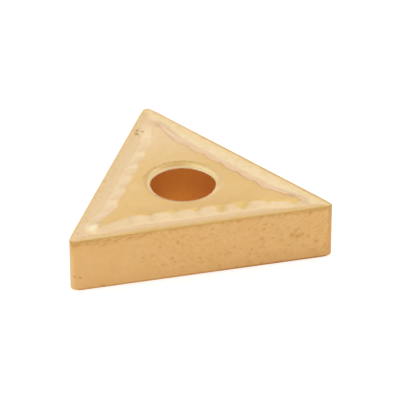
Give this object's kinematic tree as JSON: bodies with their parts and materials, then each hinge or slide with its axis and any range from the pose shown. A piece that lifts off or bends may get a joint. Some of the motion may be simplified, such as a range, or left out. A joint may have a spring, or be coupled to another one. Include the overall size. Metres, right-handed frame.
{
  "type": "triangular carbide turning insert",
  "caption": "Double-sided triangular cutting insert with sharp small-radius noses, a scalloped chip groove round each face and a clamping hole through the middle.",
  "frame": {"origin": "on the axis of the clamping hole, at mid thickness", "axes": "+Z along the clamping hole; one nose points along +Y and the flank opposite it faces -Y"},
  "size_m": [0.0214, 0.0186, 0.005],
  "materials": {
    "coated_carbide": "satin"
  },
  "bodies": {
    "root": {"insert_body": "coated_carbide"}
  },
  "joints": []
}
